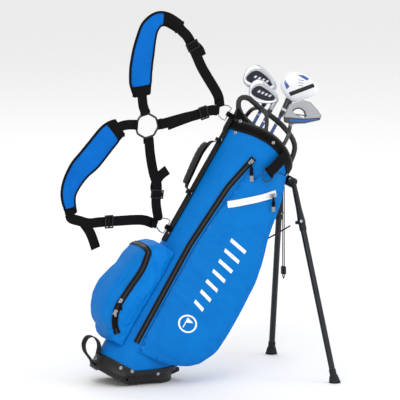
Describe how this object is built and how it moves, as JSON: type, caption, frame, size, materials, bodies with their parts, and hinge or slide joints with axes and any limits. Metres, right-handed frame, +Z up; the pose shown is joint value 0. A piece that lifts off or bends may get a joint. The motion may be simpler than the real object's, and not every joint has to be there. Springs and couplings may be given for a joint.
{
  "type": "golf club set",
  "caption": "Junior golf clubs in a leaning stand bag with fold-out legs, zipped pockets, a tilting foot and a double shoulder harness.",
  "frame": {"origin": "centre of the toe pad's flat underside, on the ground that the bag leans over", "axes": "+Z up, +X from the toe pad towards the stand's legs (the way the bag leans), +Y to the bag's left-hand side; the bag's own axis leans 31 degrees from +Z towards +X"},
  "size_m": [0.6814, 0.446, 0.9119],
  "materials": {
    "bag_fabric": "woven nylon, satin",
    "pad_fabric": "air mesh over foam",
    "webbing": "woven webbing",
    "zip_tape": "nylon coil zip",
    "pale_zip_tape": "coated waterproof zip",
    "trim": "binding tape",
    "black_plastic": "moulded, fine grain",
    "leg_tube": "dark anodised, fluted",
    "rod_steel": "black coated wire",
    "rubber": "matt",
    "bright_metal": "nickel plated",
    "dark_ring_metal": "dark plated",
    "blue_shaft": "painted tube",
    "putter_shaft_metal": "painted tube",
    "iron_head": "satin, with a pale rim",
    "wood_head": "gloss coat",
    "putter_head": "satin grey"
  },
  "bodies": {
    "bag": {"bag_tube": "bag_fabric", "base_cup": "black_plastic", "base_hinge_pin": "rod_steel", "spine_strip": "webbing", "top_collar": "trim", "top_rim": "black_plastic", "side_pocket": "bag_fabric", "side_zip": "zip_tape", "valuables_zip": "pale_zip_tape", "ball_pocket": "bag_fabric", "ball_pocket_zip": "zip_tape", "towel_loop": "webbing", "stand_bracket": "black_plastic", "grab_loop": "webbing", "tie_cord": "webbing"},
    "foot": {"base_foot": "black_plastic"},
    "leg_left": {"leg_left_arm": "black_plastic", "leg_left_tube": "leg_tube", "leg_left_foot": "rubber"},
    "leg_right": {"leg_right_arm": "black_plastic", "leg_right_tube": "leg_tube", "leg_right_foot": "rubber"},
    "actuator": {"actuator_rod": "rod_steel"},
    "push_left": {"push_rod_left": "rod_steel"},
    "push_right": {"push_rod_right": "rod_steel"},
    "handle": {"handle_grip": "black_plastic", "handle_strap": "webbing"},
    "harness": {"harness_ring": "dark_ring_metal", "harness_pad_upper": "pad_fabric", "harness_pad_lower": "pad_fabric", "harness_web_top": "webbing", "harness_web_upper": "webbing", "harness_web_lower": "webbing", "harness_web_bottom": "webbing", "ladder_lock_top": "black_plastic", "ladder_lock_upper": "black_plastic", "ladder_lock_lower": "black_plastic", "ladder_lock_bottom": "black_plastic", "d_ring_upper": "bright_metal", "d_ring_lower": "bright_metal"},
    "side_slider": {"side_zip_slider": "bright_metal"},
    "side_pull": {"side_zip_pull": "black_plastic"},
    "valuables_slider": {"valuables_zip_slider": "bright_metal"},
    "valuables_pull": {"valuables_zip_pull": "black_plastic"},
    "ball_slider_upper": {"ball_zip_slider_upper": "bright_metal"},
    "ball_slider_lower": {"ball_zip_slider_lower": "bright_metal"},
    "towel_ring_body": {"towel_ring": "bright_metal"},
    "cord_toggle_body": {"cord_toggle": "black_plastic"},
    "iron_long": {"iron_long_head": "iron_head", "iron_long_shaft": "blue_shaft", "iron_long_grip": "rubber"},
    "iron_short": {"iron_short_head": "iron_head", "iron_short_shaft": "blue_shaft", "iron_short_grip": "rubber"},
    "fairway_wood": {"fairway_wood_head": "wood_head", "fairway_wood_shaft": "blue_shaft", "fairway_wood_grip": "rubber"},
    "putter": {"putter_head": "putter_head", "putter_shaft": "putter_shaft_metal", "putter_grip": "rubber"}
  },
  "joints": [
    {"name": "leg_left_fold", "type": "hinge", "parent": "bag", "child": "leg_left", "pos_m": [0.33582, 0.04, 0.4741], "axis": [-0.4408, 0.8576, 0.2649], "range_deg": [0, 40.33]},
    {"name": "leg_right_fold", "type": "hinge", "parent": "bag", "child": "leg_right", "pos_m": [0.33582, -0.04, 0.4741], "axis": [0.4408, 0.8576, -0.2649], "range_deg": [0, 40.33]},
    {"name": "actuator_slide", "type": "slide", "parent": "bag", "child": "actuator", "axis": [-0.515, 0, -0.8572], "range_m": [0, 0.03558]},
    {"name": "push_left_swing", "type": "hinge", "parent": "actuator", "child": "push_left", "pos_m": [0.22269, 0.012, 0.30525], "axis": [0.5364, -0.8272, -0.1675], "range_deg": [0, 29.8]},
    {"name": "push_right_swing", "type": "hinge", "parent": "actuator", "child": "push_right", "pos_m": [0.22269, -0.012, 0.30525], "axis": [-0.5364, -0.8272, 0.1675], "range_deg": [0, 29.8]},
    {"name": "base_foot_tilt", "type": "hinge", "parent": "bag", "child": "foot", "pos_m": [-0.115, 0, 0.017], "axis": [0, 1, 0], "range_deg": [0, 31]},
    {"name": "handle_swing", "type": "hinge", "parent": "bag", "child": "handle", "pos_m": [0.14994, 0, 0.57879], "axis": [0.5305, 0, 0.8477], "range_deg": [-25, 25]},
    {"name": "harness_swing", "type": "hinge", "parent": "bag", "child": "harness", "pos_m": [0.01777, 0, 0.37704], "axis": [0.515, 0, 0.8572], "range_deg": [-90, 90]},
    {"name": "side_zip_slide", "type": "slide", "parent": "bag", "child": "side_slider", "axis": [-0.6906, 0.0687, -0.7199], "range_m": [0, 0.03]},
    {"name": "side_pull_swing", "type": "hinge", "parent": "side_slider", "child": "side_pull", "pos_m": [0.20643, -0.08533, 0.54018], "axis": [-0.9704, 0.2415, 0], "range_deg": [0, 80]},
    {"name": "valuables_zip_slide", "type": "slide", "parent": "bag", "child": "valuables_slider", "axis": [-0.984, 0.0649, -0.1661], "range_m": [0, 0.095]},
    {"name": "valuables_pull_swing", "type": "hinge", "parent": "valuables_slider", "child": "valuables_pull", "pos_m": [0.25589, -0.1082, 0.45684], "axis": [-0.998, 0.064, 0], "range_deg": [0, 80]},
    {"name": "ball_slider_upper_slide", "type": "slide", "parent": "bag", "child": "ball_slider_upper", "axis": [0.457, 0, 0.8895], "range_m": [0, 0.03]},
    {"name": "ball_slider_lower_slide", "type": "slide", "parent": "bag", "child": "ball_slider_lower", "axis": [-0.457, 0, -0.8895], "range_m": [0, 0.02]},
    {"name": "towel_ring_swing", "type": "hinge", "parent": "bag", "child": "towel_ring_body", "pos_m": [0.24998, -0.09606, 0.51386], "axis": [-0.5835, -0.1063, 0.8052], "range_deg": [-20, 70]},
    {"name": "cord_toggle_slide", "type": "slide", "parent": "bag", "child": "cord_toggle_body", "axis": [0, 0, 1], "range_m": [0, 0.15]},
    {"name": "iron_long_slide", "type": "slide", "parent": "bag", "child": "iron_long", "axis": [0.515, 0, 0.8572], "range_m": [0, 0.62]},
    {"name": "iron_short_slide", "type": "slide", "parent": "bag", "child": "iron_short", "axis": [0.515, 0, 0.8572], "range_m": [0, 0.51]},
    {"name": "fairway_wood_slide", "type": "slide", "parent": "bag", "child": "fairway_wood", "axis": [0.515, 0, 0.8572], "range_m": [0, 0.62]},
    {"name": "putter_slide", "type": "slide", "parent": "bag", "child": "putter", "axis": [0.515, 0, 0.8572], "range_m": [0, 0.62]}
  ],
  "couplings": [
    {"joint": "leg_right_fold", "follows": "leg_left_fold", "ratio": 1},
    {"joint": "actuator_slide", "follows": "leg_left_fold", "m_per_rad": 0.050542},
    {"joint": "push_left_swing", "follows": "leg_left_fold", "ratio": 0.73892},
    {"joint": "push_right_swing", "follows": "leg_left_fold", "ratio": 0.73892},
    {"joint": "base_foot_tilt", "follows": "leg_left_fold", "ratio": 0.76857}
  ]
}
